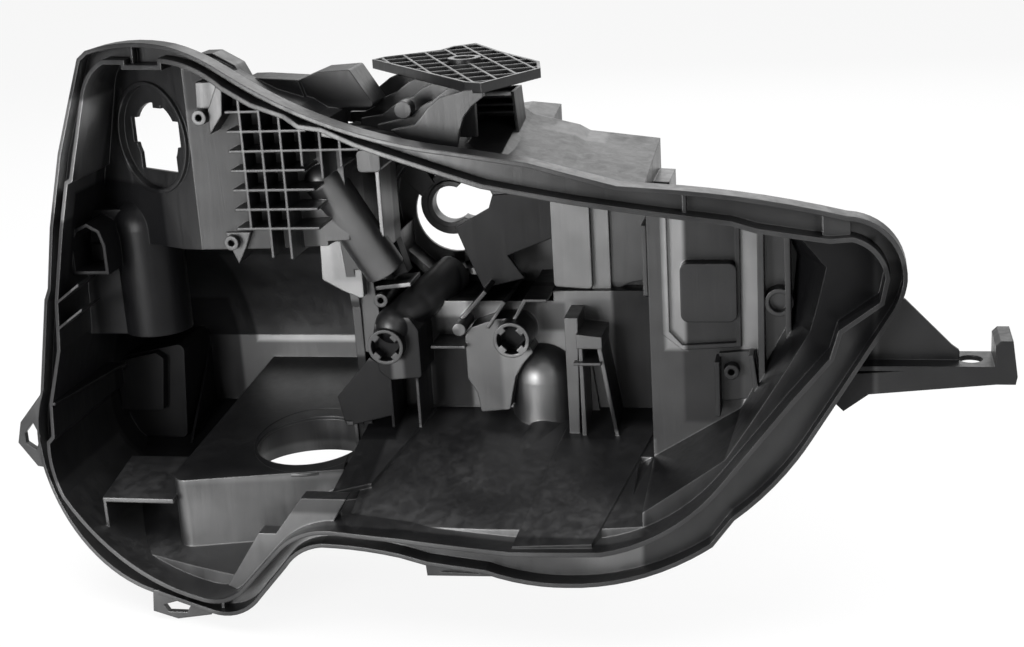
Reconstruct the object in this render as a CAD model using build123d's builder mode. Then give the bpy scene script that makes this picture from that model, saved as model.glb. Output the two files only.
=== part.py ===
from build123d import *
from math import cos, radians, sin, sqrt
import os

# Headlamp housing, one injection moulding. Millimetres. X runs along the lamp, Y back from the
# front, Z up. The layout is drawn about the main lamp axis, with depths measured from the front.

# Overall sizes. The layout below is drawn at the nominal sizes and stretches with these.
housing_width = 576.0
housing_depth = 232.0
housing_height = 367.0
stretch_x = housing_width / 576.0
stretch_y = housing_depth / 232.0
stretch_z = housing_height / 367.0

# Walls and the glue channel round the front
wall = 2.8
flange_wall = 2.6
channel_depth = 12.0
channel_floor = 2.6
lip_stand = 1.5

# Front surface: swept back to both ends, raked back to the top
front_depth = 19.0
sweep_radius = 833.0 * stretch_x**2 / stretch_y
sweep_middle = 46.0
rake = 0.10 * stretch_y / stretch_z

# Depths of the chambers behind the front
low_depth = 150.0
upper_depth = 164.0
lamp_depth = 200.0
dome_depth = 232.0
panel_depth = 98.0

far = 420.0


def at(x, z):
    """a place in the layout, seen from the front"""
    return (x * stretch_x, z * stretch_z)


def deep(y):
    """a depth in the layout"""
    return y * stretch_y


def across(y):
    """the plane facing the front at a depth"""
    return Plane.XZ.offset(-deep(y))


def trace(start, *steps):
    """a closed face: one point ends a line, two points pass and end an arc"""
    with BuildSketch() as face:
        with BuildLine():
            here = at(*start)
            for step in steps:
                if len(step) == 2 and not isinstance(step[0], tuple):
                    Line(here, at(*step))
                    here = at(*step)
                else:
                    ThreePointArc(here, at(*step[0]), at(*step[1]))
                    here = at(*step[1])
            Line(here, at(*start))
        make_face()
    return face.sketch


def behind_front(shift):
    """all that lies deeper than the front surface moved back by shift"""
    low = -far
    half = far
    drop = sweep_radius - sqrt(sweep_radius**2 - half**2)
    tip = deep(front_depth) + shift + rake * low
    middle = sweep_middle * stretch_x
    with BuildPart() as block:
        with BuildSketch(Plane.XY.offset(low)):
            with BuildLine():
                ThreePointArc((middle - half, tip + drop), (middle, tip), (middle + half, tip + drop))
                Line((middle + half, tip + drop), (middle + half, tip + 2 * far))
                Line((middle + half, tip + 2 * far), (middle - half, tip + 2 * far))
                Line((middle - half, tip + 2 * far), (middle - half, tip + drop))
            make_face()
        extrude(amount=2 * far, dir=(0, rake, 1))
    return block.part


def prism(face, start, end):
    """a front-view face carried from one depth to another"""
    with BuildPart() as body:
        with BuildSketch(Plane.XZ.offset(-start)):
            add(face)
        extrude(amount=start - end)
    return body.part


def grown(face, amount, corners=Kind.TANGENT):
    """a face offset outwards, or inwards if the amount is negative"""
    with BuildSketch() as bigger:
        add(face)
        if amount:
            offset(amount=amount, kind=corners)
    return bigger.sketch


# Front-view outlines
rim_face = trace(
    (-207, 129),
    (-200, 134),
    ((-170, 139), (-138, 137)),
    ((-119, 131), (-101, 122)),
    ((-30, 90), (40, 74)),
    (88, 66),
    (139, 51),
    (174, 47),
    ((225, 38), (270, 26)),
    ((298, 9), (305, -15)),
    ((302, -27), (297, -36)),
    (250, -106),
    ((229, -132), (204, -153)),
    (191, -169),
    ((150, -187), (102, -193)),
    ((77, -191), (52, -185)),
    (15, -181),
    (-2, -177),
    ((-30, -174), (-54, -174)),
    ((-70, -180), (-80, -190)),
    (-100, -213),
    ((-115, -225), (-137, -228)),
    (-182, -221),
    ((-240, -195), (-269, -152)),
    ((-273, -125), (-266, -95)),
    (-254, -30),
    (-250, -22),
    (-243, 19),
    (-230, 68),
    (-218, 100),
)
lip_face = trace(
    (-204, 103),
    ((-199, 115), (-186, 126)),
    (-172, 126),
    (-172, 123),
    (-142, 123),
    (-142, 127),
    ((-121, 122), (-102, 111)),
    (-83, 101),
    (-61, 94),
    (-52, 88),
    (-37, 86),
    (-16, 77),
    (60, 52),
    (114, 41),
    (204, 25),
    (218, 20),
    (260, 11),
    (273, 11),
    ((286, 2), (292, -12)),
    (289, -26),
    (265, -41),
    (260, -57),
    (236, -83),
    (195, -131),
    ((163, -157), (124, -170)),
    (69, -170),
    (-1, -164),
    (-46, -162),
    ((-66, -165), (-87, -179)),
    (-115, -209),
    ((-128, -216), (-146, -217)),
    ((-212, -196), (-252, -165)),
    ((-259, -149), (-261, -130)),
    (-256, -125),
    (-255, -102),
    (-243, -63),
    (-241, -30),
    (-231, 18),
    (-223, 49),
    (-219, 51),
)


def side_cut(points, x_start, x_end, amount):
    """a chamber's side profile of (depth, height) carried along X, grown by amount"""
    with BuildPart() as body:
        with BuildSketch(Plane.YZ.offset(x_start * stretch_x - amount)):
            with BuildLine():
                here = (deep(points[0][0]), points[0][1] * stretch_z)
                for step in points[1:] + points[:1]:
                    if isinstance(step[0], tuple):
                        via, end = [(deep(y), z * stretch_z) for y, z in step]
                        ThreePointArc(here, via, end)
                    else:
                        end = (deep(step[0]), step[1] * stretch_z)
                        Line(here, end)
                    here = end
            make_face()
            if amount:
                offset(amount=amount, kind=Kind.INTERSECTION)
        extrude(amount=(x_end - x_start) * stretch_x + 2 * amount)
    return body.part


def plan_cut(points, amount):
    """a chamber's plan of (x, depth) carried up the whole height, grown by amount"""
    with BuildPart() as body:
        with BuildSketch(Plane.XY.offset(-far)):
            with BuildLine():
                Polyline(*[(x * stretch_x, deep(y)) for x, y in points], close=True)
            make_face()
            if amount:
                offset(amount=amount, kind=Kind.INTERSECTION)
        extrude(amount=2 * far)
    return body.part


def tapered(front, back, start, end, amount):
    """a chamber that runs from a front outline to a back outline, grown by amount"""
    with BuildPart() as body:
        for points, y in ((front, deep(start)), (back, deep(end) + amount)):
            with BuildSketch(Plane.XZ.offset(-y)):
                with BuildLine():
                    Polyline(*[at(*point) for point in points], close=True)
                make_face()
                if amount:
                    offset(amount=amount, kind=Kind.INTERSECTION)
        loft(ruled=True)
    return body.part


def chambers(amount):
    """the hollow inside the housing, or with the wall as amount its outside"""
    throat_depth = channel_depth + channel_floor + 6 + amount
    plan = [(-330, -70), (-44, -70), (-44, 97), (-141, 79), (-207, 115), (-330, 182)]
    with BuildPart() as shelf:
        add(side_cut([(-66, -1), (300, -1), (300, 300), (-66, 300)], -390, -20, amount))
        add(plan_cut(plan, amount), mode=Mode.INTERSECT)
    dome = side_cut(
        [(-60, 6), (60, 6), (88, 0), ((185, -34), (dome_depth, -105)), (dome_depth, -157), (-60, -236)],
        -400,
        -57,
        amount,
    )
    low = side_cut([(-64, -22), (low_depth, -22), (low_depth, -131), (-64, -189)], -51, 147, amount)
    corner = side_cut([(-61, 3), (108, 3), (122, -50), (126, -150), (-61, -196)], -60, -42, amount)
    with BuildPart() as sections:
        with BuildSketch(Plane.XZ.offset(62)):
            Rectangle(4 * far, 4 * far)
        extrude(amount=-250)
        add(behind_front(throat_depth), mode=Mode.SUBTRACT)
        add(shelf.part)
        add(dome)
        add(low)
        add(corner)
        add(prism(grown(lip_face, amount), -60, far - 100), mode=Mode.INTERSECT)
    with BuildPart() as guard:
        add(prism(grown(lip_face, amount), -58, far - 90))
        add(behind_front(throat_depth - 2 - 2 * amount))
    front = [(-46, -54), (-46, 84), (-16, 75), (60, 50), (76, 45), (76, -54)]
    back = [(-46, -54), (-46, 62), (20, 66), (59, 70), (76, 68), (76, -54)]
    with BuildPart() as lamp:
        add(tapered(front, back, 18, lamp_depth, amount))
        add(guard.part, mode=Mode.INTERSECT)
    front = [(40, -47), (40, 53), (60, 47), (65, 45), (97, 41), (103, 39), (147, 32), (147, -47)]
    back = [(40, -47), (40, 72), (60, 72), (65, 68), (96, 60), (103, 56), (147, 50), (147, -47)]
    with BuildPart() as upper:
        add(tapered(front, back, 19, upper_depth, amount))
        add(guard.part, mode=Mode.INTERSECT)
    front = [(138, 34), (204, 22), (260, 8), (286, -10), (262, -43), (194, -129), (138, -162)]
    back = [(138, 32), (204, 21), (232, 10), (240, -8), (236, -50), (204, -110), (138, -150)]
    with BuildPart() as right:
        add(tapered(front, back, 16, panel_depth, amount))
        add(guard.part, mode=Mode.INTERSECT)
    with BuildPart() as hollow:
        add(sections.part)
        add(lamp.part)
        add(upper.part)
        add(right.part)
    return hollow.part


def plate(points, front, back, inset=0.0, corner=0.0):
    """a front-view polygon carried between two depths, drawn in by the inset all round"""
    with BuildPart() as body:
        with BuildSketch(across(back)) as face:
            with BuildLine():
                Polyline(*[at(*point) for point in points], close=True)
            make_face()
            if corner:
                fillet(face.vertices(), radius=corner)
            if inset:
                offset(amount=-inset, kind=Kind.INTERSECTION)
        extrude(amount=deep(back - front))
    return body.part


def level(points, z, height):
    """a plan polygon of (x, depth) carried up from a height"""
    with BuildPart() as body:
        with BuildSketch(Plane.XY.offset(z * stretch_z)):
            with BuildLine():
                Polyline(*[(x * stretch_x, deep(y)) for x, y in points], close=True)
            make_face()
        extrude(amount=height)
    return body.part


def fin(points, x, thickness):
    """a side-view polygon of (depth, height), as thick as given, centred on x"""
    with BuildPart() as body:
        with BuildSketch(Plane.YZ.offset(x * stretch_x - thickness / 2)):
            with BuildLine():
                Polyline(*[(deep(y), z * stretch_z) for y, z in points], close=True)
            make_face()
        extrude(amount=thickness)
    return body.part


def bar(x, z, radius, front, back):
    """a round boss or bore that faces the front"""
    with BuildPart() as body:
        with BuildSketch(across(back)):
            with Locations(at(x, z)):
                Circle(radius)
        extrude(amount=deep(back - front))
    return body.part


def tube(start, end, radius, from_start=0.0, past_end=0.0):
    """a round bar between two places, from a little past its start to a little past its end"""
    (x0, y0, z0), (x1, y1, z1) = [(x * stretch_x, deep(y), z * stretch_z) for x, y, z in (start, end)]
    along = Vector(x1 - x0, y1 - y0, z1 - z0)
    with BuildPart() as body:
        with BuildSketch(Plane(origin=(x0, y0, z0), z_dir=along).offset(from_start)):
            Circle(radius)
        extrude(amount=along.length - from_start + past_end)
    return body.part


def rounded(start, end, radius):
    """a round bar with a ball at its start"""
    x, y, z = start
    with BuildPart() as body:
        add(tube(start, end, radius))
        with Locations((x * stretch_x, deep(y), z * stretch_z)):
            Sphere(radius)
    return body.part


# Waffle ribs on the shelf wall
rib = 1.8
grid_pitch_x = 12.7
grid_pitch_z = 12.5
grid_left = -101.5
grid_top = 94.0
grid_front = 68.0
grid_back = 106.0
grid_feet = (19, -1, -2, 58, 50, 57)
grid_ends = (-88, -59, -26, -62, -57, -56, -56)


def waffle():
    """the crossing ribs: each upright has its own foot, each level rib its own right end"""
    half = rib / 2 / stretch_x
    ribs = []
    for column, foot in enumerate(grid_feet):
        x = grid_left + column * grid_pitch_x
        upright = [(x - half, foot), (x + half, foot), (x + half, 112), (x - half, 112)]
        ribs.append(plate(upright, grid_front, grid_back))
    for row, end in enumerate(grid_ends):
        z = grid_top - row * grid_pitch_z
        low = z - rib / stretch_z
        ribs.append(plate([(-111, z), (end, z), (end, low), (-111, low)], grid_front, grid_back))
    return ribs


# Screw bosses as (x, z, front, back, bore depth), and their gussets
screw_radius = 4.8
screw_bore = 2.1
screw_bosses = [
    (-126, 91, 62, 92, 14),
    (-119, 7, 75, 96, 6),
    (-254, -112, 176, 206, 20),
    (-36, -45, 120, 204, 20),
    (199, -82, 86, 104, 9),
]


def screw_seats():
    """the bosses and the gussets behind them"""
    seats = [bar(x, z, screw_radius, front, back) for x, z, front, back, bore in screw_bosses]
    seats.append(plate([(-130, 96), (-121, 95), (-111, 112), (-129, 112)], 70, 96))
    seats.append(plate([(-121, 95), (-113, 112), (-110, 112), (-112, 92), (-121, 80)], 66, 96))
    seats.append(plate([(-124, 13), (-107, 13), (-111, 3), (-117, -8), (-121, 2)], 80, 100))
    seats.append(plate([(-260, -106), (-246, -106), (-246, -128), (-268, -128)], 184, 206))
    return seats


def screw_bores():
    """the blind bores of the bosses"""
    return [bar(x, z, screw_bore, front - 2, front + bore) for x, z, front, back, bore in screw_bosses]


# Bulb collar: a bayonet cup set square to a bulb that points outboard
bulb_place = (-174.0, 97.0, 73.0)
bulb_turn = 30.0
bulb_radius = 34.0
bulb_cup = 3.0
bulb_hole = 22.5


def bulb_plane(back):
    """the plane of the bulb collar, moved back along its own axis"""
    turn = radians(bulb_turn)
    x, y, z = bulb_place
    middle = (x * stretch_x + back * sin(turn), deep(y) + back * cos(turn), z * stretch_z)
    return Plane(origin=middle, x_dir=(cos(turn), -sin(turn), 0), z_dir=(-sin(turn), -cos(turn), 0))


def bulb_collar():
    """the shallow cup with its floor, standing a little proud of the wall"""
    with BuildPart() as body:
        with BuildSketch(bulb_plane(bulb_cup + wall)):
            Circle(bulb_radius + wall)
        extrude(amount=bulb_cup + wall + 2)
    return body.part


def bulb_opening():
    """the room inside the cup and the keyed hole through its floor"""
    with BuildPart() as body:
        with BuildSketch(bulb_plane(bulb_cup)):
            Circle(bulb_radius)
        extrude(amount=bulb_cup + 7)
        with BuildSketch(bulb_plane(bulb_cup + wall + 20)):
            Circle(bulb_hole)
            with Locations((0, -bulb_hole / 2)):
                Rectangle(2 * bulb_hole - 7, bulb_hole)
            with Locations((0, 3)):
                Rectangle(2 * bulb_hole + 5, 17)
            with Locations((4, bulb_hole)):
                Rectangle(8, 7, mode=Mode.SUBTRACT)
        extrude(amount=wall + 24)
    return body.part


# Main lamp opening, and the bulb ring that two arms hold inside it
lamp_centre = (0.5, -3.0)
lamp_radius = 29.0
ring_centre = (-1.0, 4.0)
ring_radius = 22.0
ring_bore = 13.0
ring_side = (15.0, 7.0)
ring_height = 6.0
ring_bead = 3.0
ring_arms = [
    [(-36, 24), (-22, 10), (-12, 19), (-24, 40)],
    [(6, -38), (8, -12), (18, -10), (30, -30)],
]


def lamp_ring():
    """the ring with its raised bead, and its two arms"""
    with BuildPart() as body:
        for back, height, outer in (
            (lamp_depth + wall, ring_height + wall, ring_radius),
            (lamp_depth, ring_height + ring_bead, ring_bore + 3.5),
        ):
            with BuildSketch(across(back)):
                with Locations(at(*ring_centre)):
                    Circle(outer)
                    Circle(ring_bore, mode=Mode.SUBTRACT)
                with Locations(at(*ring_side)):
                    Circle(ring_bore + 1, mode=Mode.SUBTRACT)
            extrude(amount=height)
        for arm in ring_arms:
            with BuildSketch(across(lamp_depth + wall)):
                with BuildLine():
                    Polyline(*[at(*point) for point in arm], close=True)
                make_face()
            extrude(amount=wall + 8)
    return body.part


def lamp_opening():
    """what is cut through the back wall round and inside the ring"""
    with BuildPart() as body:
        with BuildSketch(across(lamp_depth + 20)):
            with Locations(at(*lamp_centre)):
                Circle(lamp_radius)
        extrude(amount=deep(20))
        add(lamp_ring(), mode=Mode.SUBTRACT)
    return body.part


def lamp_collar():
    """the eight-sided wall round the lamp opening"""
    outer = [(-43, 24), (-46, 10), (-42, -22), (-19, -44), (40, -44), (40, 40), (-30, 40)]
    with BuildPart() as body:
        add(plate(outer, 180, 203))
        add(plate(outer, 178, lamp_depth, inset=5), mode=Mode.SUBTRACT)
    return body.part


# Floor: the raised box with its round opening, the small hooded box and the low steps
box_plan = [(-180, 60), (-58, 80), (-76, 240), (-160, 240)]
box_top = -155.0
box_rise = 0.19
box_corner = 11.0
box_hole = (-92.0, 118.0)
box_hole_radius = 41.0


def big_box(inset):
    """the raised box, or with the wall as inset the room under it"""
    with BuildPart() as body:
        with BuildSketch(Plane.XY.offset(-250 * stretch_z)) as plan:
            with BuildLine():
                Polyline(*[(x * stretch_x, deep(y)) for x, y in box_plan], close=True)
            make_face()
            fillet(plan.vertices().sort_by(Axis.Y)[0], radius=box_corner)
            if inset:
                offset(amount=-inset, kind=Kind.INTERSECTION)
        extrude(amount=140 * stretch_z, taper=1)
        top = box_top * stretch_z - inset
        roof = [(deep(y), top + (y - 62) * box_rise * stretch_z) for y in (20, 300)]
        with BuildSketch(Plane.YZ.offset(-far)):
            with BuildLine():
                Polyline(roof[0], roof[1], (deep(300), far), (deep(20), far), close=True)
            make_face()
        extrude(amount=2 * far, mode=Mode.SUBTRACT)
    return body.part


def box_opening():
    """the round opening in the raised box, cut square on its right"""
    edge = [(-140, 60), (-62, 60), (-62, 141), (-75, 141), (-91, 174), (-140, 174)]
    with BuildPart() as body:
        with BuildSketch(Plane.XY.offset(-240 * stretch_z)):
            with Locations((box_hole[0] * stretch_x, deep(box_hole[1]))):
                Circle(box_hole_radius)
            with BuildLine():
                Polyline(*[(x * stretch_x, deep(y)) for x, y in edge], close=True)
            make_face(mode=Mode.INTERSECT)
        extrude(amount=110 * stretch_z)
    return body.part


def sloped(plan, height):
    """a plan polygon standing on the sloping middle floor"""
    with BuildPart() as body:
        add(level(plan, -190, 60 * stretch_z))
        rise = [(0, -171.8 + height), (160, -128.6 + height), (160, 0), (0, 0)]
        with BuildSketch(Plane.YZ.offset(-far)):
            with BuildLine():
                Polyline(*[(deep(y), z * stretch_z) for y, z in rise], close=True)
            make_face()
        extrude(amount=2 * far, mode=Mode.SUBTRACT)
    return body.part


def floor_bump():
    """the half-round hump that runs forward over the middle floor"""
    with BuildPart() as body:
        for x, z, depth, radius in ((80, -136, 160, 17), (57, -154, 100, 9)):
            with BuildSketch(across(depth)):
                with Locations(at(x, z)):
                    Circle(radius)
        loft()
    return body.part


def floor_fittings():
    """everything that stands on the floor"""
    parts = [big_box(0), floor_bump()]
    hood = [(60, -167), (112, -157), (125, -170), (125, -215), (118, -215), (110, -160), (60, -170)]
    parts.append(fin(hood, -200, 50))
    parts.append(fin([(60, -167), (112, -157), (120, -215), (60, -215)], -225, 2.2))
    parts.append(sloped([(-59, 51), (-35, 61), (-10, 146), (-52, 146)], 3.0))
    parts.append(sloped([(82, 108), (69, 6), (118, 10), (146, 130), (140, 152), (89, 152)], 1.6))
    parts.append(plate([(-70, -147), (-40, -147), (-70, -195), (-100, -186)], 22, 34))
    parts.append(plate([(-101, -172), (-80, -172), (-105, -220), (-126, -210)], 22, 34))
    return parts


# Left side: block, fin, rounded column, tunnel and clip rail
block_face = [(-300, -170), (-300, -112), (-248, -104), (-208, -96), (-214, -170)]
column_radius = 23.0
tunnel_face = [(-237, -16), (-237, 6), (-232, 15), (-223, 19), (-214, 14), (-211, 4), (-211, -16)]


def left_fittings():
    """everything on the left wall"""
    parts = [plate(block_face, 182, 240, corner=5)]
    cover = [(-260, -108), (-228, -101), (-222, -105), (-227, -146), (-260, -146)]
    parts.append(plate(cover, 174, 186, corner=2))
    parts.append(fin([(232, -112), (238, -170), (170, -178)], -209, 2.0))
    with BuildPart() as column:
        with Locations((-199 * stretch_x, deep(126), 8 * stretch_z)):
            Cylinder(column_radius, 74 * stretch_z, align=(Align.CENTER, Align.CENTER, Align.MAX))
            Sphere(column_radius)
        add(plate([(-256, -66), (-199, -66), (-199, 22), (-256, 22)], 111, 140))
    parts.append(column.part)
    with BuildPart() as tunnel:
        add(plate(tunnel_face, 84, 124))
        add(plate(tunnel_face, 82, 122, inset=2.4), mode=Mode.SUBTRACT)
    parts.append(tunnel.part)
    for drop in (0, 17):
        rail = [(-262, -42), (-246, -34), (-223, -18), (-223, -16), (-246, -32), (-262, -40)]
        parts.append(plate([(x, z - drop) for x, z in rail], 62, 90))
    parts.append(level([(-262, 62), (-253, 64), (-240, 150), (-262, 150)], -102, 2.0))
    return parts


# Centre: slanted motor trough, two adjuster sockets, and the bars and ribs between them
trough_ends = ((-61, 101, 42), (-31, 120, -23))
trough_radius = 14.0
drive_ends = ((-28, 121, -62), (1, 180, -42))
drive_radius = 13.0
left_socket = (-31.0, -73.0, 105.0)
right_socket = (52.0, -72.0, 118.0)
socket_radius = 12.2
socket_rim = 2.4
socket_depth = 18.0
socket_teeth = 4
left_seat = [(-42, -71), (-40, -60), (-32, -55), (-16, -55), (-10, -64), (-10, -97), (-32, -99), (-39, -93)]
right_seat = [
    (18, -73),
    (22, -67),
    (39, -61),
    (52, -60),
    (64, -84),
    (56, -93),
    (51, -102),
    (48, -115),
    (46, -125),
    (26, -127),
    (24, -113),
    (18, -103),
]


def socket(place, back):
    """an adjuster socket: a round boss with a recess that has teeth round it"""
    x, z, front = place
    with BuildPart() as body:
        with BuildSketch(across(back)):
            with Locations(at(x, z)):
                Circle(socket_radius)
        extrude(amount=deep(back - front))
        with BuildSketch(Plane.XZ.offset(-deep(front) - socket_depth)):
            with Locations(at(x, z)):
                Circle(socket_radius - socket_rim)
                with PolarLocations(socket_radius - socket_rim - 0.5, socket_teeth, start_angle=45):
                    Rectangle(4.4, 5.2, mode=Mode.SUBTRACT)
        extrude(amount=socket_depth + 1, mode=Mode.SUBTRACT)
    return body.part


def centre_fittings():
    """everything between the left chamber and the front bracket"""
    parts = [rounded(*trough_ends, trough_radius), rounded(*drive_ends, drive_radius)]
    slant = [(-70, 8), (-60, 8), (-46, -20), (-46, -43), (-60, -37), (-74, -29), (-73, 4)]
    parts.append(plate(slant, 116, 150, corner=2))
    parts.append(plate([(-30, 66), (-15, 66), (-15, 52), (-30, 52)], 75, 114, corner=3))
    parts.append(fin([(110, 68), (110, 2), (122, -8), (150, -8), (150, 68)], -28, 2.6))
    shield = [(-57, -40), (-53, -30), (-42, -27), (-38, -60), (-42, -84), (-53, -82), (-56, -68)]
    parts.append(plate(shield, 124, 152, corner=2))
    parts.append(plate([(-71, -112), (-46, -84), (-34, -92), (-32, -125), (-67, -134)], 116, 152))
    parts.append(socket(left_socket, 126))
    parts.append(plate(left_seat, 114, 152, corner=2))
    parts.append(plate([(-34, -96), (-32, -96), (-32, -134), (-34, -134)], 116, 152))
    parts.append(plate([(-15, -94), (-13, -94), (-13, -134), (-15, -134)], 116, 152))
    parts.append(fin([(120, -30), (150, -8), (203, -8), (203, -40), (152, -40)], -32, 2.2))
    parts.append(plate([(-44, -37), (-16, -34), (-16, -37), (-44, -40)], 126, 152))
    parts.append(plate([(-44, 3), (-29, -3), (-21, -31), (-44, -38)], 140, 152))
    parts.append(socket(right_socket, 152))
    parts.append(plate(right_seat, 130, 152, corner=1.5))
    parts.append(bar(16, -66, 4.5, 122, 152))
    parts.append(plate([(-5, -78), (19, -78), (19, -80), (-5, -80)], 124, 152))
    parts.append(plate([(10, -66), (32, -42), (34, -44), (12, -68)], 134, 204))
    parts.append(plate([(33, -66), (46, -48), (48, -49), (35, -67)], 128, 204))
    parts.append(plate([(52, -60), (60, -46), (76, -46), (76, -48), (62, -48), (54, -61)], 126, 204))
    screen = [(9, -5), (33, 8), (36, 17), (78, 20), (78, -12), (44, -25), (55, -41), (26, -48), (18, -29)]
    parts.append(plate(screen, 160, 163))
    parts.append(low_dome())
    return parts


dome_radius = 23.0


def low_dome():
    """the round cover low on the back wall, beside the right socket"""
    with BuildPart() as body:
        with Locations((67 * stretch_x, deep(152), -107 * stretch_z)):
            Cylinder(dome_radius, 70, align=(Align.CENTER, Align.CENTER, Align.MAX))
            Sphere(dome_radius)
    return body.part


def front_bracket():
    """the ribbed bracket that stands in the middle of the floor"""
    parts = [plate([(88, -57), (97, -57), (95, -140), (88, -140)], 120, 152)]
    parts.append(plate([(96, -67), (113, -69), (113, -77), (96, -77)], 116, 152))
    parts.append(plate([(94, -86), (112, -86), (112, -88), (94, -88)], 114, 152))
    parts.append(plate([(97, -76), (99.5, -76), (100, -140), (97, -140)], 118, 152))
    parts.append(plate([(109, -76), (112, -76), (122, -140), (119.5, -140)], 118, 152))
    parts.append(plate([(95, -90), (100, -90), (106, -140), (95, -140)], 146, 152))
    return parts


# Right side: stepped columns, and the tall panel with its raised box, ribs and bosses
panel_box = [(168, -12), (203, -12), (203, -50), (168, -50)]


def right_fittings():
    """everything right of the lamp chamber"""
    parts = [plate([(77, 90), (103, 90), (103, -46), (77, -44)], 150, 170, corner=3)]
    parts.append(plate([(102, 90), (115, 90), (115, -50), (102, -50)], 155, 170, corner=2))
    parts.append(plate([(114, 90), (150, 90), (150, -40), (128, -44), (114, -50)], 159, 170))
    parts.append(fin([(100, 10), (100, -36), (170, -60), (170, 10)], 145, 3.0))
    parts.append(plate(panel_box, 89, 104, corner=5))
    parts.append(plate([(156, 40), (160, 40), (160, -58), (168, -67), (168, -70), (156, -60)], 94, 104))
    parts.append(plate([(168, -67), (202, -65), (202, -68), (168, -70)], 94, 104))
    parts.append(plate([(202, 40), (205, 40), (205, -68), (202, -68)], 94, 104))
    parts.append(plate([(216, 40), (220, 40), (220, -112), (216, -108)], 86, 104))
    parts.append(plate([(232, 20), (236, 10), (237, -110), (234, -110)], 86, 104))
    with BuildPart() as cup:
        add(bar(229, -37, 9, 88, 104))
        add(bar(229, -37, 6.2, 86, 94), mode=Mode.SUBTRACT)
    parts.append(cup.part)
    parts.append(plate([(189, -74), (192, -74), (192, -110), (189, -110)], 82, 104))
    parts.append(plate([(191, -72), (214, -70), (218, -101), (192, -104)], 94, 104))
    parts.append(plate([(210, -70), (213, -70), (217, -101), (214, -101)], 84, 104))
    parts.append(plate([(168, -150), (212, -112), (214, -115), (170, -154)], 66, 104))
    parts.append(fin([(58, -140), (104, -128), (104, -190), (58, -190)], 178, 2.4))
    return parts


def rooms():
    """what is cored out from behind, so that thick fittings keep an even wall"""
    cored = [big_box(wall)]
    cored.append(plate(block_face, 182 + wall, 262, wall))
    cored.append(plate(left_seat, 116 + wall, 162, wall))
    cored.append(plate(right_seat, 130 + wall, 162, wall))
    cored.append(plate(panel_box, 89 + wall, 112, wall))
    cored.append(plate([(77, 60), (103, 60), (103, -46), (77, -44)], 150 + wall, 176, wall))
    cored.append(tube(*trough_ends, trough_radius - wall, wall, 4))
    cored.append(tube(*drive_ends, drive_radius - wall, 16, 4))
    return cored


# Top bracket: a plate over the roof with crossing ribs on it, carried by bent ribs and a blade
bracket_height = 105.0
bracket_plate = 2.4
bracket_rib = 3.6
bracket_plan = [
    (-44, 174),
    (-39, 186),
    (-6, 212),
    (-1, 230),
    (13, 242),
    (39, 197),
    (77, 141),
    (83, 111),
    (57, 56),
    (45, 63),
]
bracket_border = 2.2
bracket_cell = (15.5, 19.0)
bracket_turn = 25.0
bracket_hole = (24.0, 156.0)
bracket_bore = 7.0
bracket_boss = 11.0


def top_bracket():
    """the plate, its pockets and the fixing hole"""
    x, y = bracket_hole[0] * stretch_x, deep(bracket_hole[1])
    plan = [(px * stretch_x, deep(py)) for px, py in bracket_plan]
    with BuildPart() as body:
        with BuildSketch(Plane.XY.offset(bracket_height * stretch_z - bracket_plate)):
            with BuildLine():
                Polyline(*plan, close=True)
            make_face()
        extrude(amount=bracket_plate + bracket_rib)
        with BuildSketch(Plane.XY.offset(bracket_height * stretch_z)):
            with BuildLine():
                Polyline(*plan, close=True)
            make_face()
            offset(amount=-bracket_border, kind=Kind.INTERSECTION)
            with Locations(Location((x, y), bracket_turn)):
                with GridLocations(*bracket_cell, 14, 14):
                    Rectangle(bracket_cell[0] - rib, bracket_cell[1] - rib, mode=Mode.INTERSECT)
        extrude(amount=bracket_rib + 1, mode=Mode.SUBTRACT)
        with BuildSketch(Plane.XY.offset(bracket_height * stretch_z - bracket_plate)):
            with Locations((x, y)):
                Circle(bracket_boss)
        extrude(amount=bracket_plate + bracket_rib + 2)
        with BuildSketch(Plane.XY.offset(bracket_height * stretch_z - 20)):
            with Locations((x, y)):
                Circle(bracket_bore)
        extrude(amount=40, mode=Mode.SUBTRACT)
    return body.part


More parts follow.
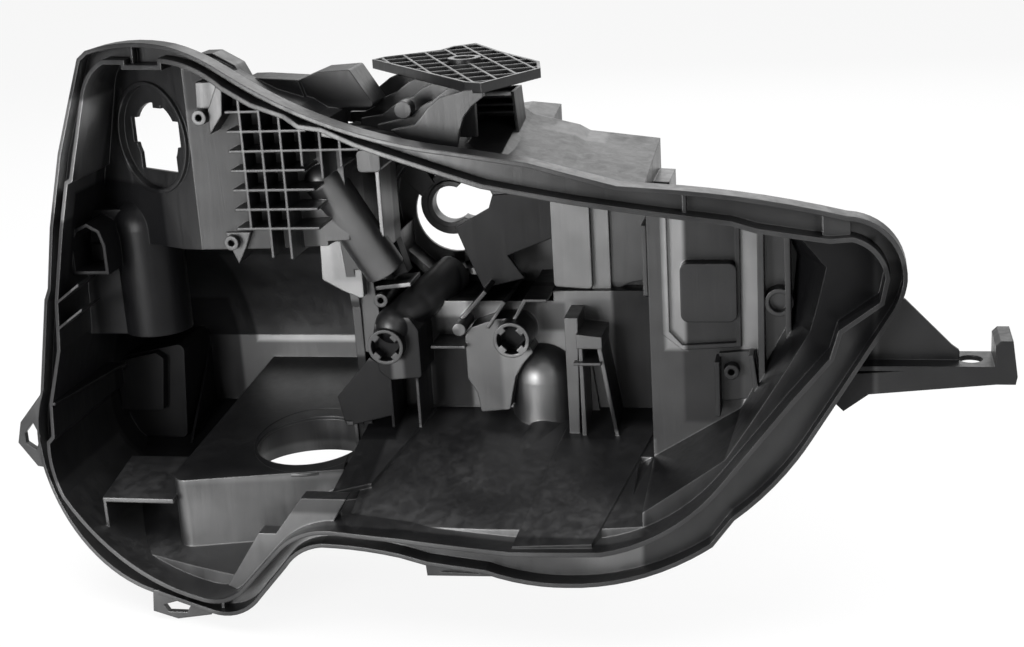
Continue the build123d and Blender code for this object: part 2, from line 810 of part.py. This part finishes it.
def roof_fittings():
    """the bent ribs and the blade under the bracket, and the pockets and louvres on the roof"""
    crests = [
        (140, [(-79, 85), (-51, 86), (-46, 87), (-34, 93), (-23, 101), (-15, 104)]),
        (118, [(-45, 83), (-35, 83), (-28, 86), (-21, 92), (-13, 95), (-5, 101), (3, 104)]),
        (98, [(-32, 82), (-18, 84), (-11, 89), (-5, 93), (3, 95), (9, 100), (19, 104)]),
        (80, [(-16, 81), (-1, 84), (10, 90), (15, 93), (20, 95), (25, 99), (33, 104)]),
    ]
    parts = []
    for depth, crest in crests:
        first, last = crest[0][0], crest[-1][0] + 14
        foot = [(last, 104), (last, 72), (first + 30, 72), (first, 78)]
        parts.append(plate(crest + foot, depth, depth + 4))
    blade = [(-2, 81), (13, 84), (17, 88), (22, 94), (30, 100), (46, 104), (57, 104), (57, 100), (49, 94)]
    parts.append(plate(blade + [(44, 88), (41, 80), (38, 66), (10, 72)], 60, 64))
    parts.append(bar(3, 91, 5.5, 72, 82))
    hump = [(-137, 110), (-135, 122), (-131, 128), (-121, 128), (-107, 120), (-100, 106)]
    parts.append(plate(hump, 84, 102, corner=2))
    parts.append(plate([(-104, 100), (-103, 111), (-94, 111), (-68, 109), (-62, 90)], 88, 112))
    parts.append(plate([(-76, 90), (-72, 107), (-56, 113), (-35, 114), (-20, 90)], 92, 122, corner=2))
    parts.append(plate([(146, 4), (160, 4), (160, 33), (146, 34)], 120, 160))
    for z in (78, 83, 88):
        parts.append(plate([(30, z), (62, z), (62, z + 1.6), (30, z + 1.6)], 126, 152))
    parts.append(plate([(30, 66), (32, 66), (36, 92), (34, 92)], 126, 152))
    parts.append(plate([(62, 66), (64, 66), (62, 92), (60, 92)], 126, 152))
    parts.append(plate([(30, 66), (64, 66), (62, 92), (34, 92)], 150, 153))
    return parts


# Side arm: a triangular web and an angle that carries the outer fixing hole and a stop
arm_front = 62.0
arm_back = 92.0
arm_wall = 3.0
arm_hole = (343.0, 77.0)
arm_bore = 7.0
arm_web = [(262, -20), (304, -31), (332, -60), (340, -66), (340, -74), (270, -84), (250, -70)]
arm_face = [(270, -74), (357, -69), (357, -80), (283, -87), (268, -98), (262, -92)]
arm_shelf = [(276, arm_front), (358, arm_front), (358, arm_back), (330, arm_back), (270, 80)]
arm_stop = [(356, -56), (359, -53), (366, -53), (369, -75), (368, -80), (356, -80)]


def side_arm():
    """the right-hand fixing arm"""
    x, y = arm_hole[0] * stretch_x, deep(arm_hole[1])
    with BuildPart() as body:
        add(plate(arm_web, 75, 75 + arm_wall))
        add(plate(arm_face, arm_front, arm_front + arm_wall))
        add(level(arm_shelf, -72, arm_wall))
        add(plate(arm_stop, arm_front, arm_back))
        with BuildSketch(Plane.XY.offset(-90 * stretch_z)):
            with Locations((x, y)):
                Circle(arm_bore)
        extrude(amount=60, mode=Mode.SUBTRACT)
    return body.part


# Clip tabs on the flange, each an outline, a hole and its depths
clip_tabs = [
    (
        [(-262, -92), (-283, -116), (-287, -131), (-275, -148), (-262, -150)],
        [(-274, -116), (-281, -124), (-281, -131), (-274, -136), (-270, -126)],
        68,
        72,
    ),
    (
        [(-182, -215), (-184, -234), (-167, -239), (-143, -235), (-143, -222)],
        [(-176, -229), (-166, -226), (-157, -229), (-160, -234), (-173, -234)],
        28,
        32,
    ),
    (
        [(13, -176), (14, -190), (59, -189), (60, -178)],
        [(22, -187), (32, -185), (44, -185), (48, -187.5)],
        6,
        10,
    ),
]


def tabs():
    """the clip tabs, and the small stop on the lower right edge"""
    parts = [plate([(236, -100), (240, -107), (249, -107), (250, -97), (244, -90)], 34, 38)]
    for outline, hole, front, back in clip_tabs:
        with BuildPart() as tab:
            add(plate(outline, front, back))
            add(plate(hole, front - 2, back + 2), mode=Mode.SUBTRACT)
        parts.append(tab.part)
    return parts


# Webs across the glue channel, as (x, z, width, height)
channel_webs = [
    (-168, 130, 2.2, 16),
    (-159, -216, 2.2, 16),
    (-132, -222, 2.2, 12),
    (176, 36, 2.2, 16),
    (256, 20, 16, 14),
]
web_step = 5.0

inside = chambers(0)
outside = chambers(wall)

with BuildPart() as core:
    add(inside)
    add(waffle() + screw_seats() + [bulb_collar(), lamp_ring(), lamp_collar()], mode=Mode.SUBTRACT)
    add(floor_fittings() + left_fittings() + centre_fittings(), mode=Mode.SUBTRACT)
    add(front_bracket() + right_fittings(), mode=Mode.SUBTRACT)
void = core.part.solids().sort_by(SortBy.VOLUME)[-1]

with BuildPart() as groove:
    add(prism(grown(rim_face, -flange_wall, Kind.ARC), -72, 310))
    add(behind_front(channel_depth), mode=Mode.SUBTRACT)

with BuildPart() as lips:
    add(outside)
    add(behind_front(-lip_stand), mode=Mode.INTERSECT)

with BuildPart() as webs:
    for x, z, width, height in channel_webs:
        low, high, right = z - height / 2, z + height / 2, x + width
        add(plate([(x, low), (right, low), (right, high), (x, high)], -20, 90))
    add(prism(rim_face, -70, 300), mode=Mode.INTERSECT)
    add(behind_front(web_step), mode=Mode.INTERSECT)
    add(behind_front(channel_depth + 1), mode=Mode.SUBTRACT)

with BuildPart() as shell:
    add(prism(rim_face, -70, 300))
    add(behind_front(0), mode=Mode.INTERSECT)
    add(behind_front(channel_depth + channel_floor), mode=Mode.SUBTRACT)
    add([top_bracket(), bulb_collar(), side_arm()] + roof_fittings() + tabs())
    add(groove.part, mode=Mode.SUBTRACT)
    add(lips.part)
    add(webs.part)
    add(void, mode=Mode.SUBTRACT)
    add(rooms() + screw_bores() + [bulb_opening(), lamp_opening(), box_opening()], mode=Mode.SUBTRACT)

# The part's origin is the fixing hole on the bracket's plate
seat = Location((-bracket_hole[0] * stretch_x, -deep(bracket_hole[1]), -bracket_height * stretch_z))
with BuildPart() as headlamp_housing:
    add(shell.part.moved(seat))

headlamp_housing.part.label = "headlamp_housing"
os.makedirs("parts", exist_ok=True)
export_step(headlamp_housing.part, "parts/headlamp_housing.step")
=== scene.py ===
import math
import bpy
import numpy as np
from mathutils import Matrix, Vector


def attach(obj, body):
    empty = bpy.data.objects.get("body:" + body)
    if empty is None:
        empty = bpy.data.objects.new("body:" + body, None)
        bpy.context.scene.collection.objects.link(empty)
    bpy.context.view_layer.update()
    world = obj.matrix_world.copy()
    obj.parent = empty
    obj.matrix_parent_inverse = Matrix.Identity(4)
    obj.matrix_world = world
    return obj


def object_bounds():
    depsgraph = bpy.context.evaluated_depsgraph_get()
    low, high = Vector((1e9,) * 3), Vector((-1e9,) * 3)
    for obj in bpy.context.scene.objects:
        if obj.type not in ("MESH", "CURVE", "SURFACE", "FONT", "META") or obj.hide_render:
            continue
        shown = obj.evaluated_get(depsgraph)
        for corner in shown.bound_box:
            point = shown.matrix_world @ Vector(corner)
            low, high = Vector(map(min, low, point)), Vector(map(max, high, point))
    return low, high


# Headlamp housing, one moulding. Metres. X along the lamp, Y back from the open front, Z up,
# origin at the top fixing hole.

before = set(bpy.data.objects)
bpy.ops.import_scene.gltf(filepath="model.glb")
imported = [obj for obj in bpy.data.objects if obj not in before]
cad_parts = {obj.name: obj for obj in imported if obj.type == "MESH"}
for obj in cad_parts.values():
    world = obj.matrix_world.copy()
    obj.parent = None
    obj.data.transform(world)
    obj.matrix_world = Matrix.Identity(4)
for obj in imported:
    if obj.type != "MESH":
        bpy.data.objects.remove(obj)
cadBox = [[float(v) for v in corner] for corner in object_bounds()]
print("frame loaded", cadBox)


def linear(hexColour, alpha=1.0):
    # sRGB hex to linear: c / 12.92 below 0.04045, else ((c + 0.055) / 1.055) ** 2.4
    values = [int(hexColour[i:i + 2], 16) / 255 for i in (1, 3, 5)]
    return tuple(v / 12.92 if v <= 0.04045 else ((v + 0.055) / 1.055) ** 2.4 for v in values) + (alpha,)


def addNode(tree, kind, links=(), **settings):
    # one node: a setting named after an input sets that input, any other is an attribute, and a
    # link is (input, socket)
    node = tree.nodes.new(kind)
    for name, value in settings.items():
        label = name.replace("_", " ")
        if label in node.inputs:
            node.inputs[label].default_value = value
        else:
            setattr(node, name, value)
    for name, socket in links:
        tree.links.new(socket, node.inputs[name])
    return node


# Camera: stands in front, to the right and above, with a slight roll
camera = {
    "place": (0.24694, -1.03988, 0.14830),
    "azimuth": 12.25,
    "elevation": 17.0,
    "roll": 3.5,
    "focalPixels": 1624.0,
    "imageWidth": 1024,
}


def makeCamera(c):
    a, e, r = (math.radians(c[k]) for k in ("azimuth", "elevation", "roll"))
    forward = Vector((-math.sin(a) * math.cos(e), math.cos(a) * math.cos(e), -math.sin(e)))
    right = Vector((math.cos(a), math.sin(a), 0))
    up = right.cross(forward)
    turnedRight = right * math.cos(r) - up * math.sin(r)
    turnedUp = up * math.cos(r) + right * math.sin(r)
    data = bpy.data.cameras.new("camera")
    data.sensor_fit = "HORIZONTAL"
    data.sensor_width = 36.0
    data.lens = 36.0 * c["focalPixels"] / c["imageWidth"]
    data.clip_start = 0.02
    data.clip_end = 50
    obj = bpy.data.objects.new("camera", data)
    bpy.context.scene.collection.objects.link(obj)
    basis = Matrix((turnedRight, turnedUp, -forward)).transposed().to_4x4()
    obj.matrix_world = Matrix.Translation(Vector(c["place"])) @ basis
    bpy.context.scene.camera = obj
    print("camera", c["place"])


makeCamera(camera)

# Light: an even white room with a large soft lamp above, one behind that draws the top edges,
# and a low one at the front left that shines into the open side
light = {
    "roomStrength": 0.5,
    "lamps": (
        {"name": "topLamp", "place": (-0.2, -0.5, 1.5), "aim": (0, 0, -0.1), "size": 1.6, "power": 30},
        {"name": "backLamp", "place": (0.1, 1.7, 0.9), "aim": (0, 0, 0), "size": 1.6, "power": 13},
        {"name": "frontLamp", "place": (-0.85, -1.75, -0.08), "aim": (-0.05, 0, -0.12),
         "size": 0.8, "power": 46},
        {"name": "rightLamp", "place": (1.4, -1.2, 0.6), "aim": (0, 0, -0.15), "size": 1.0, "power": 10},
    ),
    "floorHeight": cadBox[0][2] - 0.001,
    "floorHalfWidth": 6,
    "floorColour": "#f4f4f4",
    "floorGlow": 0.86,
}


def makeLight(c):
    for lamp in c["lamps"]:
        data = bpy.data.lights.new(lamp["name"], "AREA")
        data.shape = "SQUARE"
        data.size = lamp["size"]
        data.energy = lamp["power"]
        obj = bpy.data.objects.new(lamp["name"], data)
        bpy.context.scene.collection.objects.link(obj)
        place = Vector(lamp["place"])
        turn = (Vector(lamp["aim"]) - place).to_track_quat("-Z", "Y")
        obj.matrix_world = Matrix.Translation(place) @ turn.to_matrix().to_4x4()
    world = bpy.data.worlds.new("room")
    bpy.context.scene.world = world
    world.use_nodes = True
    tree = world.node_tree
    tree.nodes.clear()
    path = addNode(tree, "ShaderNodeLightPath")
    seen = addNode(tree, "ShaderNodeBackground", Color=(1, 1, 1, 1), Strength=1.0)
    lit = addNode(tree, "ShaderNodeBackground", Color=(1, 1, 1, 1), Strength=c["roomStrength"])
    rays = [(0, path.outputs["Is Camera Ray"]), (1, lit.outputs[0]), (2, seen.outputs[0])]
    mix = addNode(tree, "ShaderNodeMixShader", links=rays)
    addNode(tree, "ShaderNodeOutputWorld", links=[("Surface", mix.outputs[0])])


def makeFloor(c):
    h = c["floorHeight"]
    w = c["floorHalfWidth"]
    corners = [(-w, -w, h), (w, -w, h), (w, w, h), (-w, w, h)]
    mesh = bpy.data.meshes.new("floor")
    mesh.from_pydata(corners, [], [(0, 1, 2, 3)])
    obj = bpy.data.objects.new("floor", mesh)
    bpy.context.scene.collection.objects.link(obj)
    paper = bpy.data.materials.new("white paper, matt")
    paper.use_nodes = True
    tree = paper.node_tree
    tree.nodes.clear()
    path = addNode(tree, "ShaderNodeLightPath")
    matt = addNode(tree, "ShaderNodeBsdfDiffuse", Color=linear(c["floorColour"]))
    glow = addNode(tree, "ShaderNodeEmission", Color=(1, 1, 1, 1), Strength=1.0)
    share = addNode(tree, "ShaderNodeMath", operation="MULTIPLY", links=[(0, path.outputs["Is Camera Ray"])])
    share.inputs[1].default_value = c["floorGlow"]
    layers = [(0, share.outputs[0]), (1, matt.outputs[0]), (2, glow.outputs[0])]
    mix = addNode(tree, "ShaderNodeMixShader", links=layers)
    addNode(tree, "ShaderNodeOutputMaterial", links=[("Surface", mix.outputs[0])])
    mesh.materials.append(paper)


makeLight(light)
makeFloor(light)
print("light and floor made")

# Talc-filled polypropylene, black, injection moulded: satin, with long soft flow marks where the
# melt ran, a fine mould grain, and edges that the mould rounds a little so they catch the light.
# Faces differ in shine and tone: the levels below are set zone by zone to how light falls on each face,
# so they are painted highlight and painted shade, glossier and lighter where light falls, duller and darker
# in shade. Polished and spark-eroded mould faces are the likely cause, which is a guess.
polypropylene = {
    "colour": "#0c0c0d",
    # the lighter colour mixed in where the painted highlight zones and the random mottle are strong: painted
    # sheen
    "mottleAndPaintedSheenColour": "#171718",
    "ior": 1.49,
    "roughness": (0.30, 0.50),
    "flowLengthMm": 90.0,
    "flowWidthMm": 7.0,
    "grainMm": 0.9,  # the real grain is 0.05 mm, drawn coarser so that it shows
    "edgeRadius": 0.0011,
    "plainShine": 0.55,
    "backTurn": (0.02, 0.10),  # Y of the face's normal where the plain shine starts and is full
    "zoneBorder": 0.004,
    "cloudMm": 60.0,
    "mottle": (0.75, 1.2),
}

# Zones of painted highlight and painted shade, as low corner, high corner in mm from the origin, and shine
# from 0 (dull, painted shade) to 2 (glossy, painted highlight); where two overlap, the later one holds
paintedLightZones = {
    "bulbWall": ((-179, -62, -108), (-129, -44, 5), 1.9),
    "sideWall": ((-262, -130, -80), (-222, -46, -2), 1.9),
    "gridWall": ((-129, -52, -106), (-60, -44, 5), 1.4),
    "domeBack": ((-194, 20, -215), (-84, 90, -112), 1.9),
    "boxFront": ((-206, -100, -345), (-80, -70, -258), 1.7),
    "slantPanel": ((-100, -46, -150), (-66, -34, -95), 1.9),
    "trough": ((-90, -75, -135), (-35, -20, -42), 1.5),
    "driveBar": ((-48, -40, -170), (-8, 40, -128), 1.7),
    "rightSeat": ((-8, -40, -235), (42, 0, -162), 1.0),
    "lowCover": ((18, -40, -240), (68, 2, -180), 1.6),
    "columns": ((52, -12, -160), (92, 20, -40), 1.2),
    "panelStrip": ((181, -60, -215), (194, -46, -70), 2.0),
    "lampPanel": ((144, -76, -225), (181, -46, -60), 0.3),
    "panelEdge": ((133, -64, -176), (146, -46, -60), 2.0),
    "leftFloor": ((-300, -140, -345), (-60, 0, -262), 1.2),
    "middleFloor": ((-60, -140, -300), (124, 0, -238), 1.7),
    "roofHumps": ((-165, -80, -12), (-36, -30, 14), 0.3),
    "mountArm": ((264, -160, -215), (372, -40, -110), 0.3),
    "seatEdge": ((60, -42, -250), (96, 0, -158), 1.0),
    "columnLeft": ((-262, -76, -176), (-196, 0, -64), 0.12),
    "block": ((-290, 5, -280), (-208, 95, -176), 0.15),
    "leftSeat": ((-46, -50, -205), (-30, 0, -162), 0.15),
    "footPlate": ((-98, -48, -245), (-54, 0, -190), 0.12),
    "lampPlate": ((-17, 2, -160), (60, 12, -80), 0.15),
    "lampSide": ((-72, -22, -148), (-42, 2, -98), 0.15),
    "rightEnd": ((212, -98, -222), (262, -40, -95), 0.15),
    "leftSocket": ((-66, -49, -189), (-44, -25, -167), 0.1),
    "rightSocket": ((17, -36, -188), (39, -12, -166), 0.1),
    "lowBack": ((-34, -8, -245), (-8, 2, -180), 0.15),
    "lowRight": ((92, -40, -240), (126, 2, -150), 0.2),
}


# one box of painted highlight or painted shade: this mask marks where its shine level holds
def paintedLightMask(tree, place, low, high, soft):
    # 1 inside the box, 0 outside, smooth over a border of width soft:
    # smoothstep of the largest of |p - centre| - half over the three axes, from soft / 2 to -soft / 2
    centre = [(a + b) / 2000 for a, b in zip(low, high)]
    half = [(b - a) / 2000 for a, b in zip(low, high)]
    away = addNode(tree, "ShaderNodeVectorMath", operation="SUBTRACT", links=[(0, place)])
    away.inputs[1].default_value = centre
    size = addNode(tree, "ShaderNodeVectorMath", operation="ABSOLUTE", links=[(0, away.outputs[0])])
    past = addNode(tree, "ShaderNodeVectorMath", operation="SUBTRACT", links=[(0, size.outputs[0])])
    past.inputs[1].default_value = half
    axes = addNode(tree, "ShaderNodeSeparateXYZ", links=[(0, past.outputs[0])])
    pair = [(0, axes.outputs[0]), (1, axes.outputs[1])]
    wide = addNode(tree, "ShaderNodeMath", operation="MAXIMUM", links=pair)
    pair = [(0, wide.outputs[0]), (1, axes.outputs[2])]
    most = addNode(tree, "ShaderNodeMath", operation="MAXIMUM", links=pair)
    mask = addNode(tree, "ShaderNodeMapRange", [("Value", most.outputs[0])],
                   interpolation_type="SMOOTHSTEP", From_Min=soft / 2, From_Max=-soft / 2)
    return mask.outputs[0]


def makePolypropylene(c, paintedZones):
    material = bpy.data.materials.new("talc-filled polypropylene, moulded")
    material.use_nodes = True
    tree = material.node_tree
    tree.nodes.clear()
    place = addNode(tree, "ShaderNodeTexCoord").outputs["Object"]
    perMetre = 1000.0
    across = perMetre / c["flowWidthMm"]
    along = perMetre / c["flowLengthMm"]
    streakMap = addNode(tree, "ShaderNodeMapping", [("Vector", place)], Scale=(across, across, along))
    streak = addNode(tree, "ShaderNodeTexNoise", [("Vector", streakMap.outputs[0])],
                     Scale=1.0, Detail=4.0, Roughness=0.6, Distortion=0.6)
    cloud = addNode(tree, "ShaderNodeTexNoise", [("Vector", place)],
                    Scale=perMetre / c["cloudMm"], Detail=3.0, Roughness=0.55)
    grain = addNode(tree, "ShaderNodeTexNoise", [("Vector", place)],
                    Scale=perMetre / c["grainMm"], Detail=2.0, Roughness=0.5)
    both = [(0, streak.outputs["Fac"]), (1, cloud.outputs["Fac"])]
    blend = addNode(tree, "ShaderNodeMath", both, operation="MULTIPLY")
    smooth, rougher = c["roughness"]
    rough = addNode(tree, "ShaderNodeMapRange", [("Value", blend.outputs[0])],
                    From_Min=0.12, From_Max=0.42, To_Min=smooth, To_Max=rougher)
    paintedShine = None
    # each box paints highlight or shade into the specular level, and through it into the base colour
    for low, high, amount in paintedZones.values():
        mask = paintedLightMask(tree, place, low, high, c["zoneBorder"])
        layer = addNode(tree, "ShaderNodeMix", [("Factor", mask)], data_type="FLOAT")
        layer.inputs[2].default_value = c["plainShine"]
        layer.inputs[3].default_value = amount
        if paintedShine:
            tree.links.new(paintedShine, layer.inputs[2])
        paintedShine = layer.outputs[0]
    # the painted highlight and shade are for the open side: a face turned to the back keeps the plain shine,
    # so that no painted zone shows through a thin wall
    facing = addNode(tree, "ShaderNodeNewGeometry")
    turned = addNode(tree, "ShaderNodeSeparateXYZ", links=[(0, facing.outputs["True Normal"])])
    start, end = c["backTurn"]
    backward = addNode(tree, "ShaderNodeMapRange", [("Value", turned.outputs[1])],
                       From_Min=start, From_Max=end)
    gate = [("Factor", backward.outputs[0]), (2, paintedShine)]
    outside = addNode(tree, "ShaderNodeMix", gate, data_type="FLOAT")
    outside.inputs[3].default_value = c["plainShine"]
    paintedShine = outside.outputs[0]
    faint, strong = c["mottle"]
    mottle = addNode(tree, "ShaderNodeMapRange", [("Value", cloud.outputs["Fac"])],
                     From_Min=0.3, From_Max=0.7, To_Min=faint, To_Max=strong)
    level = addNode(tree, "ShaderNodeMath", [(0, paintedShine), (1, mottle.outputs[0])], operation="MULTIPLY")
    half = addNode(tree, "ShaderNodeMath", [(0, level.outputs[0])], operation="MULTIPLY")
    half.inputs[1].default_value = 0.5
    # base colour mixed toward the lighter colour by the shine level: random mottle, and painted sheen that
    # is lighter in the painted highlight zones and darker in the painted shade zones
    mottleAndPaintedSheenTint = addNode(tree, "ShaderNodeMix", [("Factor", half.outputs[0])],
                   data_type="RGBA", clamp_factor=True)
    mottleAndPaintedSheenTint.inputs[6].default_value = linear(c["colour"])
    mottleAndPaintedSheenTint.inputs[7].default_value = linear(c["mottleAndPaintedSheenColour"])
    edge = addNode(tree, "ShaderNodeBevel", samples=6, Radius=c["edgeRadius"])
    relief = [("Height", streak.outputs["Fac"]), ("Normal", edge.outputs[0])]
    wave = addNode(tree, "ShaderNodeBump", relief, Strength=0.15, Distance=0.0008)
    relief = [("Height", grain.outputs["Fac"]), ("Normal", wave.outputs[0])]
    skin = addNode(tree, "ShaderNodeBump", relief, Strength=0.10, Distance=0.0002)
    finish = [("Base Color", mottleAndPaintedSheenTint.outputs[2]), ("Roughness", rough.outputs[0])]
    finish += [("Normal", skin.outputs[0]), ("Specular IOR Level", level.outputs[0])]
    surface = addNode(tree, "ShaderNodeBsdfPrincipled", finish, IOR=c["ior"])
    addNode(tree, "ShaderNodeOutputMaterial", links=[("Surface", surface.outputs[0])])
    return material


mouldedBlack = makePolypropylene(polypropylene, paintedLightZones)
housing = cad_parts["headlamp_housing"]
for slot in housing.material_slots:
    slot.material = mouldedBlack
print("housing finished in", mouldedBlack.name)

# Collar in the raised box's opening: a plate that narrows the round hole to an oval, and the
# oval's own wall, which goes down to one level. Sizes in mm; the places are from the origin.
collar = {
    "middle": (-116.5, -38.5),
    "outer": 42.0,
    "long": 38.5,
    "short": 30.9,  # leaves the way through the hole free, 45 by 45 mm
    "turn": 14.0,
    "topHeight": -249.8,
    "rise": 0.19,
    "plate": 2.2,
    "bottomHeight": -269.5,  # stays above the room under the hole, which starts at -270
    "wall": 2.2,
    "steps": 96,
}


def closedRing(name, inner, outer, top, bottom):
    # four loops of points joined into one closed ring, faces outwards
    count = len(inner)
    loops = [outer, inner, inner, outer]
    heights = [top(outer), top(inner), bottom(inner), bottom(outer)]
    stacked = [np.column_stack((loop, height)) for loop, height in zip(loops, heights)]
    points = np.concatenate(stacked) / 1000
    a = np.arange(count)
    b = (a + 1) % count
    faces = []
    for k in range(4):
        here, there = k * count, ((k + 1) % 4) * count
        faces.append(np.column_stack((here + a, here + b, there + b, there + a)))
    mesh = bpy.data.meshes.new(name)
    mesh.from_pydata(points.tolist(), [], np.concatenate(faces).tolist())
    mesh.materials.append(mouldedBlack)
    obj = bpy.data.objects.new(name, mesh)
    bpy.context.scene.collection.objects.link(obj)
    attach(obj, "root")
    return obj


def makeCollar(c):
    # circle: r (cos t, sin t); oval: its long and short half axes turned about the middle
    t = np.linspace(0, 2 * np.pi, c["steps"], endpoint=False)
    middle = np.array(c["middle"])
    turn = math.radians(c["turn"])
    along = np.array((math.cos(turn), math.sin(turn)))
    aside = np.array((-math.sin(turn), math.cos(turn)))

    def oval(grow):
        wide = (c["long"] + grow) * np.cos(t)[:, None] * along
        return middle + wide + (c["short"] + grow) * np.sin(t)[:, None] * aside

    def roof(points):
        return c["topHeight"] + (points[:, 1] - middle[1]) * c["rise"]

    rim = middle + c["outer"] * np.column_stack((np.cos(t), np.sin(t)))
    level = np.full(c["steps"], c["bottomHeight"])

    def under(points):
        return roof(points) - c["plate"]

    closedRing("collar_plate", oval(0.0), rim, roof, under)
    closedRing("collar_wall", oval(0.0), oval(c["wall"]), under, lambda points: level)
    print("collar made")


makeCollar(collar)

bpy.context.scene.view_settings.view_transform = "Standard"
